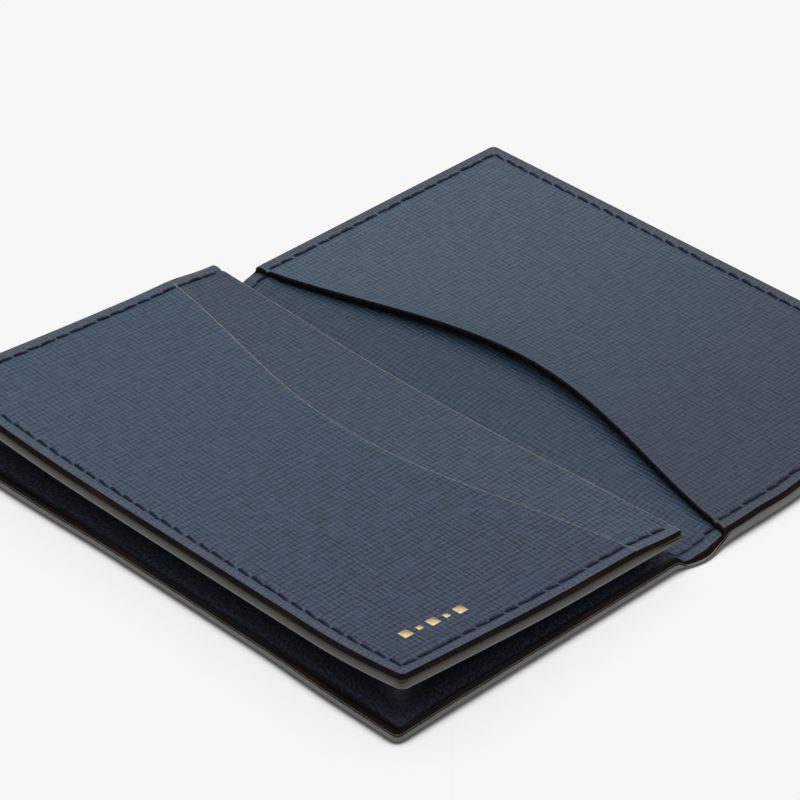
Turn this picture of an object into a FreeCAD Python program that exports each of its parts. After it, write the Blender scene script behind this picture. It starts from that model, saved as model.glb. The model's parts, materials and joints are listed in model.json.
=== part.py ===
import FreeCAD, Part

import os
from math import atan2, cos, degrees, pi

# Folding card holder, lying open and flat. Millimetres.
# +X from the gusset-pocket half to the arch-pocket half, +Y along the spine, +Z up.
# The origin is the centre of the rectangle that the open holder covers, on the surface it lies on.

# Open outline
LENGTH = 105.0           # along the spine
HALF_WIDTH = 63.0        # from the origin to either outer edge
CORNER_R = 1.5

# Leather and board of the two stiff halves
COVER_T = 0.8
BOARD_T = 0.5
LINING_T = 0.8

# Thin leather of the spine, and the two fold lines in it
SPINE_COVER_T = 0.6
SPINE_LINING_T = 0.5
FOLD_LEFT_X = -2.7
FOLD_RIGHT_X = 5.2
FOLD_Z = 0.4             # height of both fold lines
FOLD_GAP = 0.1           # clearance on each side of a fold line
LEFT_STACK_X = -4.1      # where the left board's thin edge ends
RIGHT_STACK_X = 6.2      # where the right board's thin edge begins
SKIVE = 1.0              # length over which a board and its leather thin out

# Flat pockets: sheets sewn down on three sides
MARGIN = 4.2             # width of the sewn border
SLIT = 0.25              # height of the empty space behind a sewn-down sheet
ARCH_T = 0.9
ARCH_END_X = 6.7         # mouth of the arch pocket at its two ends
ARCH_RISE = 9.7

# Gusset pocket: a tilted panel held over the left half by a folded gusset
PANEL_MOUTH_X = -3.8
PANEL_OUTER_X = -62.4
PANEL_BOTTOM_MOUTH_Z = 6.4
PANEL_BOTTOM_OUTER_Z = 8.7
PANEL_T = 0.7
REAR_SLOT_T = 0.7
FRONT_SLOT_T = 0.8
PANEL_DIP = 1.9          # how far the mouth edge dips in its middle
FRONT_SLOT_END_X = -13.4
FRONT_SLOT_DIP = 9.4
EDGE_SETBACK = 0.4       # each hidden edge stays behind the one above it

GUSSET_T = 0.6
GUSSET_INSET = 0.3       # gusset edge behind the cover's edge
GUSSET_FLANGE = 4.2
GUSSET_DEPTH = 7.2       # how far the gusset's fold reaches into the pocket
GUSSET_MOUTH_X = -6.0

# Stitching
STITCH_INSET = 3.0
STITCH_PITCH = 2.85
STITCH_L = 2.2
STITCH_W = 0.55
STITCH_H = 0.3
STITCH_TURN = 10.0       # degrees that each stitch slants off its row
GROOVE_W = 1.0
GROOVE_DEPTH = 0.35
GROOVE_STITCH_H = 0.3

# Foil ornament: a row of lozenges near the outer near corner
FOIL_CENTRE_X = -50.0
FOIL_CENTRE_Y = -46.0
FOIL_COUNT = 5
FOIL_PITCH = 2.4
FOIL_LARGE = (2.0, 2.0)
FOIL_SMALL = (1.1, 1.1)
FOIL_T = 0.1

HALF_LENGTH = LENGTH / 2
HALF_TOP = COVER_T + BOARD_T + LINING_T
SPINE_TOP = SPINE_COVER_T + SPINE_LINING_T
PANEL_SLOPE = (PANEL_BOTTOM_OUTER_Z - PANEL_BOTTOM_MOUTH_Z) / (PANEL_OUTER_X - PANEL_MOUTH_X)
PANEL_TILT = degrees(atan2(-PANEL_SLOPE, 1.0))
TALL = 40.0
BEYOND = 10.0

os.makedirs("parts", exist_ok=True)


def save(name, shape):
    shape.exportStep(f"parts/{name}.step")


def point(x, y, z):
    return FreeCAD.Vector(x, y, z)


def along_spine(profile):
    """A closed (x, z) profile carried over the whole length of the spine."""
    corners = [point(x, -HALF_LENGTH, z) for x, z in profile]
    face = Part.Face(Part.makePolygon(corners + corners[:1]))
    return face.extrude(point(0, LENGTH, 0))


def block(x0, x1, y0, y1, z0, z1):
    return Part.makeBox(x1 - x0, y1 - y0, z1 - z0, point(x0, y0, z0))


def rounded_outline(x0, x1):
    """A tall block over the full length, with rounded upright edges."""
    outline = block(x0, x1, -HALF_LENGTH, HALF_LENGTH, -1.0, TALL)
    upright = [e for e in outline.Edges if e.BoundBox.ZLength > TALL]
    return outline.makeFillet(CORNER_R, upright)


def bell(y):
    """1 at the middle of the length and 0 at its ends, flat at both."""
    wave = cos(pi * y / LENGTH)
    return 0.5 * wave + 0.5 * wave * wave


def mouth_region(end_x, rise, far_x, half_y):
    """A tall region between a pocket's curved mouth, at end_x + rise * bell(y), and far_x."""
    steps = [half_y * k / 6 for k in range(-6, 7)]
    curve = Part.BSplineCurve()
    curve.interpolate([point(end_x + rise * bell(y), y, 0) for y in steps])
    start, end = curve.value(curve.FirstParameter), curve.value(curve.LastParameter)
    rest = Part.makePolygon([end, point(far_x, half_y, 0), point(far_x, -half_y, 0), start])
    face = Part.Face(Part.Wire([curve.toShape()] + rest.Edges))
    return face.extrude(point(0, 0, TALL))


def panel_z(x):
    """Height of the gusset pocket panel's underside."""
    return PANEL_BOTTOM_MOUTH_Z + PANEL_SLOPE * (x - PANEL_MOUTH_X)


def tilted_slab(low, high):
    """A slab parallel to the panel, from low to high above the panel's underside."""
    x0, x1 = PANEL_OUTER_X, 0.0
    return along_spine([(x0, panel_z(x0) + low), (x1, panel_z(x1) + low),
                        (x1, panel_z(x1) + high), (x0, panel_z(x0) + high)])


def tilted_sheet(low, thickness, end_x, dip, slit):
    """A sheet of the panel stack, with the empty space of a card slot under it if slit."""
    plan = mouth_region(end_x, -dip, PANEL_OUTER_X - BEYOND, HALF_LENGTH)
    outline = rounded_outline(PANEL_OUTER_X, BEYOND)
    sheet = tilted_slab(low, low + thickness).common(plan).common(outline)
    if slit:
        inside = block(PANEL_OUTER_X + MARGIN, BEYOND, MARGIN - HALF_LENGTH, HALF_LENGTH - MARGIN, 0, TALL)
        sheet = sheet.cut(tilted_slab(low - SLIT, low + SLIT).common(inside))
    return sheet


def stitch_bar(x, y, z, heading, height, tilt=0.0):
    """One stitch, lying along heading (0 is +X, 90 is +Y), its underside centred on (x, y, z)."""
    bar = Part.makeBox(STITCH_L, STITCH_W, height, point(-STITCH_L / 2, -STITCH_W / 2, 0))
    bar.rotate(point(0, 0, 0), point(0, 0, 1), heading + STITCH_TURN)
    bar.rotate(point(0, 0, 0), point(0, 1, 0), tilt)
    bar.translate(point(x, y, z))
    return bar


def spaced(start, end):
    """Stitch centres from start to end, at the nearest whole number of pitches."""
    count = round(abs(end - start) / STITCH_PITCH)
    return [start + (end - start) * k / count for k in range(count + 1)]


def three_sided_row(mouth_x, corner_x):
    """(x, y, heading) of the stitches along the near, outer and far sides of a half."""
    side_y = HALF_LENGTH - STITCH_INSET
    row = []
    for side in (-1, 1):
        row += [(x, side * side_y, 0) for x in spaced(mouth_x, corner_x)[:-1]]
    inner_y = side_y - STITCH_PITCH / 2
    row += [(corner_x, y, 90) for y in spaced(-inner_y, inner_y)]
    return row


def groove(x0, x1, y0, y1):
    """A groove from corner to corner, under stitches centred on the line between them."""
    return block(x0 - GROOVE_W / 2, x1 + GROOVE_W / 2, y0 - GROOVE_W / 2, y1 + GROOVE_W / 2,
                 -GROOVE_DEPTH, GROOVE_DEPTH)


def stitch_grooves(mouth_x, corner_x):
    """The grooves under a half's outer face that hold the thread clear of the table."""
    side_y = HALF_LENGTH - STITCH_INSET
    end_x = mouth_x - STITCH_L / 2 if mouth_x < corner_x else mouth_x + STITCH_L / 2
    x0, x1 = sorted((end_x, corner_x))
    near = groove(x0, x1, -side_y, -side_y)
    far = groove(x0, x1, side_y, side_y)
    outer = groove(corner_x, corner_x, -side_y, side_y)
    return near.fuse(far).fuse(outer)


def under_row(row):
    """The same stitches on the outer face, lying in its grooves."""
    z = GROOVE_DEPTH - GROOVE_STITCH_H
    return [stitch_bar(x, y, z, heading, GROOVE_STITCH_H) for x, y, heading in row]


# Covers, boards and linings of the two halves
OUTLINE = rounded_outline(-HALF_WIDTH, HALF_WIDTH)
CORNER_X = HALF_WIDTH - STITCH_INSET


def half_sheets(side, fold_x, stack_x):
    """Cover, board and lining of the half on side -1 or +1 of the spine."""
    lip_x = fold_x + side * FOLD_GAP
    full_x = stack_x + side * SKIVE
    outer_x = side * HALF_WIDTH
    board_top = COVER_T + BOARD_T
    seam_x = lip_x + side * (SPINE_COVER_T - FOLD_Z)
    rim_x = lip_x + side * (SPINE_TOP - FOLD_Z)
    cover = [(lip_x, 0), (outer_x, 0), (outer_x, COVER_T), (full_x, COVER_T),
             (stack_x, SPINE_COVER_T), (seam_x, SPINE_COVER_T), (lip_x, FOLD_Z)]
    board = [(full_x, COVER_T), (outer_x, COVER_T), (outer_x, board_top), (full_x, board_top),
             (stack_x, SPINE_COVER_T)]
    lining = [(seam_x, SPINE_COVER_T), (stack_x, SPINE_COVER_T), (full_x, board_top),
              (outer_x, board_top), (outer_x, HALF_TOP), (rim_x + side * SKIVE, HALF_TOP),
              (rim_x, SPINE_TOP)]
    return [along_spine(profile).common(OUTLINE) for profile in (cover, board, lining)]


left_cover, left_stiffener, left_lining = half_sheets(-1, FOLD_LEFT_X, LEFT_STACK_X)
right_cover, right_stiffener, right_lining = half_sheets(1, FOLD_RIGHT_X, RIGHT_STACK_X)
save("left_cover", left_cover.cut(stitch_grooves(GUSSET_MOUTH_X - STITCH_PITCH, -CORNER_X)))
save("left_stiffener", left_stiffener)
save("left_lining", left_lining)
save("right_cover", right_cover.cut(stitch_grooves(ARCH_END_X + STITCH_PITCH, CORNER_X)))
save("right_stiffener", right_stiffener)
save("right_lining", right_lining)

# Spine: the thin leather between the two fold lines, cut back so that it can fold
spine_x0 = FOLD_LEFT_X + FOLD_GAP
spine_x1 = FOLD_RIGHT_X - FOLD_GAP
seam_cut = SPINE_COVER_T - FOLD_Z
rim_cut = SPINE_TOP - FOLD_Z
spine_cover = along_spine([(spine_x0, 0), (spine_x1, 0), (spine_x1, FOLD_Z),
                           (spine_x1 - seam_cut, SPINE_COVER_T), (spine_x0 + seam_cut, SPINE_COVER_T),
                           (spine_x0, FOLD_Z)])
spine_lining = along_spine([(spine_x0 + seam_cut, SPINE_COVER_T), (spine_x1 - seam_cut, SPINE_COVER_T),
                            (spine_x1 - rim_cut, SPINE_TOP), (spine_x0 + rim_cut, SPINE_TOP)])
spine_row = []
for side in (-1, 1):
    for x in spaced(spine_x0 + rim_cut + STITCH_L / 2, spine_x1 - rim_cut - STITCH_L / 2):
        spine_row.append((x, side * (HALF_LENGTH - STITCH_INSET), 0))
for side in (-1, 1):
    row_y = side * (HALF_LENGTH - STITCH_INSET)
    spine_cover = spine_cover.cut(groove(spine_x0 + STITCH_W, spine_x1 - STITCH_W, row_y, row_y))
spine_stitches = [stitch_bar(x, y, SPINE_TOP, heading, STITCH_H) for x, y, heading in spine_row]
save("spine_cover", spine_cover)
save("spine_lining", spine_lining)
save("spine_stitching", Part.makeCompound(spine_stitches + under_row(spine_row)))

# Arch pocket on the right half
arch_region = mouth_region(ARCH_END_X, ARCH_RISE, HALF_WIDTH + BEYOND, HALF_LENGTH)
arch_slab = block(0, HALF_WIDTH, -HALF_LENGTH, HALF_LENGTH, HALF_TOP, HALF_TOP + ARCH_T)
arch_space = block(-BEYOND, HALF_WIDTH - MARGIN, MARGIN - HALF_LENGTH, HALF_LENGTH - MARGIN,
                   HALF_TOP - SLIT, HALF_TOP + SLIT)
save("arch_pocket", arch_slab.common(arch_region).common(OUTLINE).cut(arch_space))
right_row = three_sided_row(ARCH_END_X + STITCH_PITCH, CORNER_X)
right_top = [stitch_bar(x, y, HALF_TOP + ARCH_T, heading, STITCH_H) for x, y, heading in right_row]
save("right_stitching", Part.makeCompound(right_top + under_row(right_row)))

# Gusset: one strip, folded inwards along its middle, round three sides of the left half
GUSSET_PROFILE = [        # inset from the edge, share of the way up to the panel, added height
    (GUSSET_INSET, 0.0, 0.0),
    (GUSSET_FLANGE, 0.0, 0.0),
    (GUSSET_DEPTH, 0.5, 0.0),
    (GUSSET_FLANGE, 1.0, 0.0),
    (GUSSET_INSET, 1.0, 0.0),
    (GUSSET_INSET, 1.0, -GUSSET_T),
    (GUSSET_FLANGE - GUSSET_T / 2, 1.0, -GUSSET_T),
    (GUSSET_DEPTH - GUSSET_T, 0.5, 0.0),
    (GUSSET_FLANGE - GUSSET_T / 2, 0.0, GUSSET_T),
    (GUSSET_INSET, 0.0, GUSSET_T),
]


def gusset_section(place):
    """The gusset's closed section, where place(inset) gives a point's (x, y)."""
    corners = []
    for inset, share, extra in GUSSET_PROFILE:
        x, y = place(inset)
        corners.append(point(x, y, HALF_TOP + share * (panel_z(x) - HALF_TOP) + extra))
    return Part.makePolygon(corners + corners[:1])


def gusset_corner(side):
    return gusset_section(lambda inset: (inset - HALF_WIDTH, side * (HALF_LENGTH - inset)))


def gusset_mouth(side):
    return gusset_section(lambda inset: (GUSSET_MOUTH_X, side * (HALF_LENGTH - inset)))


gusset = Part.makeLoft([gusset_corner(-1), gusset_corner(1)], True, True)
for side in (-1, 1):
    gusset = gusset.fuse(Part.makeLoft([gusset_mouth(side), gusset_corner(side)], True, True))
save("gusset", gusset)
left_row = three_sided_row(GUSSET_MOUTH_X - STITCH_PITCH, -CORNER_X)
flange_top = HALF_TOP + GUSSET_T
left_top = [stitch_bar(x, y, flange_top, heading, STITCH_H) for x, y, heading in left_row]
save("left_stitching", Part.makeCompound(left_top + under_row(left_row)))

# Panel of the gusset pocket, with two card slots on it
FRONT_LOW = PANEL_T + REAR_SLOT_T
PANEL_TOP = FRONT_LOW + FRONT_SLOT_T
save("pocket_panel", tilted_sheet(0, PANEL_T, PANEL_MOUTH_X - EDGE_SETBACK, PANEL_DIP, slit=False))
save("rear_card_slot", tilted_sheet(PANEL_T, REAR_SLOT_T, PANEL_MOUTH_X, PANEL_DIP, slit=True))
save("front_card_slot",
     tilted_sheet(FRONT_LOW, FRONT_SLOT_T, FRONT_SLOT_END_X, FRONT_SLOT_DIP, slit=True))

step_x = FRONT_SLOT_END_X - STITCH_L / 2
panel_stitches = []
for x, y, heading in three_sided_row(PANEL_MOUTH_X - STITCH_L, -CORNER_X):
    if step_x < x < step_x + STITCH_L:
        continue
    low = PANEL_TOP if x <= step_x else FRONT_LOW
    panel_stitches.append(stitch_bar(x, y, panel_z(x) + low, heading, STITCH_H, PANEL_TILT))
save("pocket_stitching", Part.makeCompound(panel_stitches))


def lozenge(x, y, z, size):
    """A flat lozenge of size (along X, along Y), lying on the tilted panel."""
    half_x, half_y = size[0] / 2, size[1] / 2
    tips = [point(half_x, 0, 0), point(0, half_y, 0), point(-half_x, 0, 0), point(0, -half_y, 0)]
    shape = Part.Face(Part.makePolygon(tips + tips[:1])).extrude(point(0, 0, FOIL_T))
    shape.rotate(point(0, 0, 0), point(0, 1, 0), PANEL_TILT)
    shape.translate(point(x, y, z))
    return shape


lozenges = []
for k in range(FOIL_COUNT):
    x = FOIL_CENTRE_X + (k - (FOIL_COUNT - 1) / 2) * FOIL_PITCH
    size = FOIL_LARGE if k % 2 == 0 else FOIL_SMALL
    lozenges.append(lozenge(x, FOIL_CENTRE_Y, panel_z(x) + PANEL_TOP, size))
save("foil_ornament", Part.makeCompound(lozenges))
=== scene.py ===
"""The looks of a folding card holder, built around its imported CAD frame.

Working sizes are in millimetres, in the frame's axes: +X from the pocket half to the arch half, +Y along
the spine, +Z up. Sheets, seams, edges and foil are first made flat and then laid in place by one of two
functions: settle() for the two halves and the spine, on_panel() for the gusset pocket. The gusset, which
joins those two, is made in place.
"""

import json
import math

import bmesh
import bpy
import numpy as np
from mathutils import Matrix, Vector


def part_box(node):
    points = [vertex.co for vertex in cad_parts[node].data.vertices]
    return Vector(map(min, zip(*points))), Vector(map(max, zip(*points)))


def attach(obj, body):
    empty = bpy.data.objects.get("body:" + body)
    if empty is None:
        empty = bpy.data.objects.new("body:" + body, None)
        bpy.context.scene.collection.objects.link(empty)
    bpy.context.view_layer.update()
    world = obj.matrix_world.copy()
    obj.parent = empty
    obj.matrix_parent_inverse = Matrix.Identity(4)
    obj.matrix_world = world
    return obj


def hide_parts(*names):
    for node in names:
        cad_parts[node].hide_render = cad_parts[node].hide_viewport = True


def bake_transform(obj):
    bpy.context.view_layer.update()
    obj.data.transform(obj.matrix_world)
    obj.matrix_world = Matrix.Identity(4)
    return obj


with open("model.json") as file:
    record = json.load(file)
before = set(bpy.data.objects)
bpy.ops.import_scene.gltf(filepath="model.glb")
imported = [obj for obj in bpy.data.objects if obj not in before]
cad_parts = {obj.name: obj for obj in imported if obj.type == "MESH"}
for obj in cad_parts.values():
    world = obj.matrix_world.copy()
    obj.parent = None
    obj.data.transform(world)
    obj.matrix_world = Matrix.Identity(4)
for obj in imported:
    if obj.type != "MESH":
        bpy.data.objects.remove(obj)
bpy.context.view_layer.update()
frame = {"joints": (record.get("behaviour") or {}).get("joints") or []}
MM = 0.001


# ---------------------------------------------------------------- sizes from the frame

def node_box(name):
    """Lowest and highest corner of a CAD node, in millimetres."""
    low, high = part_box(name)
    return np.array(low) / MM, np.array(high) / MM


def joint(name):
    """A joint of the frame, by name."""
    return next(j for j in frame["joints"] if j["name"] == name)


LEFT_EDGE = node_box("left_cover")[0][0]
RIGHT_EDGE, HALF_Y = node_box("right_cover")[1][:2]
BOARD_END_LEFT = node_box("left_stiffener")[1][0]
BOARD_END_RIGHT = node_box("right_stiffener")[0][0]
FOLD_LEFT = joint("left_fold")["pos_m"][0] / MM
FOLD_RIGHT = joint("right_fold")["pos_m"][0] / MM
SPINE_MIDDLE = (FOLD_LEFT + FOLD_RIGHT) / 2
RIGHT_TOP = node_box("right_lining")[1][2]
ARCH_TOP = node_box("arch_pocket")[1][2]
PANEL_EDGE = node_box("pocket_panel")[0][0]
PANEL_LOW_X, _, PANEL_HIGH_Z = node_box("pocket_panel")[1]
PANEL_LOW_Z = node_box("pocket_panel")[0][2]
REAR_END = node_box("rear_card_slot")[1][0]
FRONT_END = node_box("front_card_slot")[1][0]

# ---------------------------------------------------------------- driving sizes of the looks

COVER_LEFT, BOARD_LEFT, LINING_LEFT = 0.80, 0.45, 0.65
COVER_RIGHT, BOARD_RIGHT = 0.80, 0.50
COVER_SPINE, LINING_SPINE = 0.55, 0.45
LEFT_TOP = COVER_LEFT + BOARD_LEFT + LINING_LEFT
SPINE_TOP = COVER_SPINE + LINING_SPINE
SKIVE_LEFT, SKIVE_RIGHT = 1.8, 4.6     # lengths over which the halves thin out towards the spine
CORNER_R = 1.1
EDGE_INSET = 0.15         # the sheets end this far inside the CAD outline
EDGE_OUT = 0.25           # and the painted edge swells this far beyond it
EDGE_BULGE = 0.65         # how far the bead of paint swells out of its path
EDGE_DEPTH = 0.55         # how far the painted band reaches back behind its path
EDGE_PATH = EDGE_BULGE - EDGE_OUT
EDGE_PROFILE = (          # (out, up) of the bead, from its foot at -1 to its top at 1
    (0.10, -1.00), (0.45, -0.96), (0.75, -0.85), (0.93, -0.66), (1.00, -0.45), (1.00, -0.25), (0.90, 0.04),
    (0.72, 0.26), (0.56, 0.42), (0.48, 0.55), (0.45, 0.70), (0.43, 0.85), (0.38, 1.00))
BARE_FROM = 0.42          # height on that profile above which the leather is unpainted

ARCH_END = BOARD_END_RIGHT - 0.2
ARCH_RISE = 11.2
MOUTH_DROP = 0.28         # how far the lining in front of its mouth lies below the lining inside
ARCH_GAPE = 1.30          # how far the mouth of the arch pocket stands open
REAR_DIP = 1.9
FRONT_DIP = 9.4
PANEL_T, REAR_T, FRONT_T = 0.7, 0.7, 0.8
REAR_TOP = PANEL_T + REAR_T
FRONT_TOP = REAR_TOP + FRONT_T
PANEL_SAG = 0.35          # how far the panel hangs below its place in the frame
NEAR_CURL, FAR_CURL = 1.75, 1.6        # how far its two outer corners curl up
FAR_LIFT = 0.25           # and how far its far side is lifted

GUSSET_T = 0.45
GUSSET_INSET = 0.25       # of its lower edge, from the outline
GUSSET_INSET_TOP = 0.6    # and of its upper edge
GUSSET_DEPTH = 7.0        # how far in its fold reaches
GUSSET_SPAN = 22.0        # what its material counts across the strip, which is more than its flat width
FLANGE_PRESSED = 0.12     # how far the stitches press its lower flange down
GUSSET_MOUTH = BOARD_END_LEFT - 0.3

SEAM_INSET = 2.4
SEAM_PITCH = 2.85
THREAD_R = 0.25
THREAD_SLANT = 0.20       # how far the ends of a stitch lie off its row, on average
THREAD_SINK = 0.42        # how deep the centre of its ends lies in the leather
THREAD_ARCH = 0.36        # and how far its middle rises from there
OUTER_THREAD_Z = 0.12     # height that the outer face's stitches count from, inside their groove
NO_SEAM = 9.0             # a distance from a seam at which it shows nothing

LEFT_LIFT = 0.15          # how far the left half stands off the table, once inside its outer edge

FINE, COARSE = 0.34, 0.5  # spacing of a leather sheet's grid, along its edges and inside
MARGIN = 4.4              # width of a leather sheet's fine border

FOIL_COUNT = 5
FOIL_LARGE, FOIL_SMALL = 0.42, 0.24    # half sizes of the lozenges, as shares of the ornament's width
FOIL_SHIFT = 1.2          # how far the row lies from its place in the frame, along x and y
FOIL_TURN = math.radians(-5)
FOIL_LEVELS = ((0, -0.05), (0, 0.03), (0.08, 0.06))    # (drawn in, height over the leather)


def part_way(value, low, high):
    """0 below low, 1 above high, in proportion between."""
    return np.clip((value - low) / (high - low), 0, 1)


def ramp(value, low, high):
    """0 below low, 1 above high, smooth between."""
    t = part_way(value, low, high)
    return t * t * (3 - 2 * t)


def bell(y):
    """1 at the middle of the length and 0 at its ends, flat at both."""
    wave = np.cos(np.pi * y / (2 * HALF_Y))
    return 0.5 * wave + 0.5 * wave * wave


def across_spine(x, left, middle, right):
    """A thickness that is left or right on the halves and middle on the spine."""
    value = left + (middle - left) * ramp(x, BOARD_END_LEFT, BOARD_END_LEFT + SKIVE_LEFT)
    return value + (right - middle) * ramp(x, BOARD_END_RIGHT - SKIVE_RIGHT, BOARD_END_RIGHT)


def cover_top(x):
    return across_spine(x, COVER_LEFT, COVER_SPINE, COVER_RIGHT)


def lining_low(x):
    return across_spine(x, COVER_LEFT + BOARD_LEFT, COVER_SPINE, COVER_RIGHT + BOARD_RIGHT)


def lining_top(x):
    return across_spine(x, LEFT_TOP, SPINE_TOP, RIGHT_TOP)


# ---------------------------------------------------------------- from flat to where it lies

def half_lift(x, y):
    """Height of the left half's outer face over the table: it is slightly bowed, and falls to the spine."""
    inward = ramp(x, LEFT_EDGE, LEFT_EDGE + 13)
    to_spine = 1 - ramp(x, FOLD_LEFT - 2.3, FOLD_LEFT + 1.3)
    near = 0.35 + 0.65 * ramp(-y, -30, 50)
    dip = 1 - 0.22 * np.exp(-((x + 14) / 6) ** 2)
    return LEFT_LIFT * inward * to_spine * near * dip


def end_shift(x, y):
    """The ends aren't quite straight: the right half reaches out a little further at both."""
    from_spine = ramp(x, FOLD_LEFT - 2.2, FOLD_LEFT + 2) * (1 - 0.8 * ramp(x, 16, 30))
    near = 0.55 * from_spine * ramp(-y, 10, HALF_Y)
    bulge = 0.75 * np.exp(-((x - SPINE_MIDDLE) / 3.2) ** 2) * ramp(-y, HALF_Y - 0.3, HALF_Y)
    far = (0.3 * ramp(x, -45, 0) + 0.45 * ramp(x, 0, RIGHT_EDGE)) * ramp(y, 0, HALF_Y)
    return far - near - bulge


def settle(points):
    """Where a flat point of the halves or the spine lies. The right half reaches a little further out and is
    waved at its near edge, and the left half's outer edge is drawn out unevenly."""
    x, y, z = points.T
    wave = 0.10 * np.sin(x * 0.55) * ramp(x, 8, 14) * ramp(-y, 44, HALF_Y) * np.clip(z, 0, 1)
    wider = 0.9 * ramp(x, 20, RIGHT_EDGE)
    uneven = 0.45 * ramp(-y, 22, 40) + 0.5 * ramp(y, 8, 34)
    drawn = uneven * ramp(-x, 50, -LEFT_EDGE)
    return np.stack([x + wider - drawn, y + end_shift(x, y), z + half_lift(x, y) + wave], 1)


def panel_height(x, y):
    """Height of the gusset pocket panel's underside. Its outer corners curl up."""
    slope = (PANEL_HIGH_Z - PANEL_T - PANEL_LOW_Z) / (PANEL_LOW_X - PANEL_EDGE)
    level = PANEL_LOW_Z - PANEL_SAG + slope * (PANEL_LOW_X - x)
    near = part_way(-x, 26, -PANEL_EDGE) ** 1.3 * part_way(-y, 34, HALF_Y) ** 1.8
    far = part_way(-x, 20, -PANEL_EDGE) ** 1.2 * part_way(y, 20, HALF_Y) ** 1.5
    return level + NEAR_CURL * near + FAR_CURL * far + FAR_LIFT * ramp(y, 0, HALF_Y)


def on_panel(points):
    """Where a flat point of the gusset pocket lies. Its near, outer and far sides reach out a little."""
    x, y, z = points.T
    far = 0.3 * ramp(x, -45, REAR_END) * ramp(y, 0, HALF_Y)
    near = 0.4 * ramp(-y, 30, HALF_Y) * (1 - 0.6 * ramp(x, -45, -15))
    outer = 0.4 * ramp(-x, 40, -PANEL_EDGE)
    return np.stack([x - outer, y + far - near, panel_height(x, y) + z], 1)


# ---------------------------------------------------------------- seams

class Seam:
    """A row of stitches round three sides of a half, from its mouth end at mouth_x."""

    def __init__(self, mouth_x, outer_x, half_y):
        self.side = math.copysign(1, outer_x)
        self.mouth_x, self.outer_x, self.half_y = mouth_x, outer_x, half_y
        self.row_x = outer_x - self.side * SEAM_INSET
        self.row_y = half_y - SEAM_INSET
        self.count_x = round(abs(self.row_x - mouth_x) / SEAM_PITCH)
        self.count_y = round(2 * self.row_y / SEAM_PITCH)

    def stitches(self):
        """(start, end) points of every stitch, near side first, then outer, then far."""
        xs = np.linspace(self.mouth_x, self.row_x, self.count_x + 1)
        ys = np.linspace(-self.row_y, self.row_y, self.count_y + 1)
        holes = [(x, -self.row_y) for x in xs] + [(self.row_x, y) for y in ys[1:-1]]
        holes += [(x, self.row_y) for x in xs[::-1]]
        return list(zip(holes[:-1], holes[1:]))

    def inset(self, x, y):
        """Distance in from the outer edge, and from the nearer of the near and far edges."""
        return np.abs(self.outer_x) - x * self.side, self.half_y - np.abs(y)

    def distance(self, x, y):
        """Distance in from the nearest sewn edge."""
        return np.minimum(*self.inset(x, y))

    def relief(self, x, y):
        """Height that the seam gives a sheet: a rolled margin, a groove and needle holes."""
        from_outer, from_side = self.inset(x, y)
        edge = np.minimum(from_outer, from_side)
        rolled = 0.11 * np.sin(np.pi * np.clip(edge / SEAM_INSET, 0, 1)) - 0.16 * (1 - ramp(edge, 0.2, 1.2))
        off_side = np.where(from_outer > SEAM_INSET - 0.5, np.abs(from_side - SEAM_INSET), NO_SEAM)
        off_outer = np.where(from_side > SEAM_INSET - 0.5, np.abs(from_outer - SEAM_INSET), NO_SEAM)
        phase_side = (x - self.mouth_x) / (self.row_x - self.mouth_x) * self.count_x
        phase_outer = (y + self.row_y) / (2 * self.row_y) * self.count_y
        nearer_side = off_side < off_outer
        off = np.where(nearer_side, off_side, off_outer)
        phase = np.where(nearer_side, phase_side, phase_outer)
        groove = np.exp(-(off / 0.42) ** 2)
        from_hole = np.abs(phase - np.round(phase)) * SEAM_PITCH
        bridge = np.exp(-(from_hole / 0.16) ** 2)
        hole = np.exp(-((from_hole - 0.32) / 0.2) ** 2)
        swell = 0.05 * np.exp(-((edge - SEAM_INSET - 1.3) / 0.8) ** 2)
        return rolled + swell - groove * (0.22 * (1 - bridge) + 0.16 * hole)


LEFT_SEAM = Seam(SPINE_MIDDLE, LEFT_EDGE, HALF_Y)
RIGHT_SEAM = Seam(SPINE_MIDDLE, RIGHT_EDGE, HALF_Y)
POCKET_SEAM = Seam(REAR_END - 1.2, PANEL_EDGE, HALF_Y)


# ---------------------------------------------------------------- meshes

def make_piece(name, flat, faces, lay, materials, face_materials, texture=None, seam=None, paint_shade=None):
    """An object from flat points in millimetres. Materials read from each point where it lies when flat, or
    its texture place, its margin from the nearest sewn edge, and how much painted shade it carries, 0 to 1."""
    mesh = bpy.data.meshes.new(name)
    laid = lay(flat) if lay else flat
    mesh.from_pydata((laid * MM).tolist(), [], faces)
    for material in materials:
        mesh.materials.append(material)
    mesh.polygons.foreach_set("material_index", face_materials)
    where = mesh.attributes.new("flat", "FLOAT_VECTOR", "POINT")
    where.data.foreach_set("vector", (flat if texture is None else texture).astype(np.float32).ravel())
    margin = seam.distance(flat[:, 0], flat[:, 1]) if seam else np.full(len(flat), NO_SEAM)
    painted_shade = paint_shade(flat) if paint_shade else np.zeros(len(flat))
    for label, values in (("margin", margin), ("painted_shade", painted_shade)):
        mesh.attributes.new(label, "FLOAT", "POINT").data.foreach_set("value", values.astype(np.float32))
    shape = bmesh.new()
    shape.from_mesh(mesh)
    bmesh.ops.recalc_face_normals(shape, faces=shape.faces)
    shape.to_mesh(mesh)
    shape.free()
    mesh.shade_smooth()
    mesh.set_sharp_from_angle(angle=math.radians(42))
    piece = bpy.data.objects.new(name, mesh)
    bpy.context.scene.collection.objects.link(piece)
    return piece


def grid_faces(index):
    """Quads over a grid of vertex numbers."""
    a, b, c, d = index[:-1, :-1], index[1:, :-1], index[1:, 1:], index[:-1, 1:]
    return np.stack([a, b, c, d], -1).reshape(-1, 4)


def ring_faces(rings):
    """Quads between closed loops of vertex numbers."""
    index = np.array(rings)
    return grid_faces(np.concatenate([index, index[:, :1]], 1))


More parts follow.
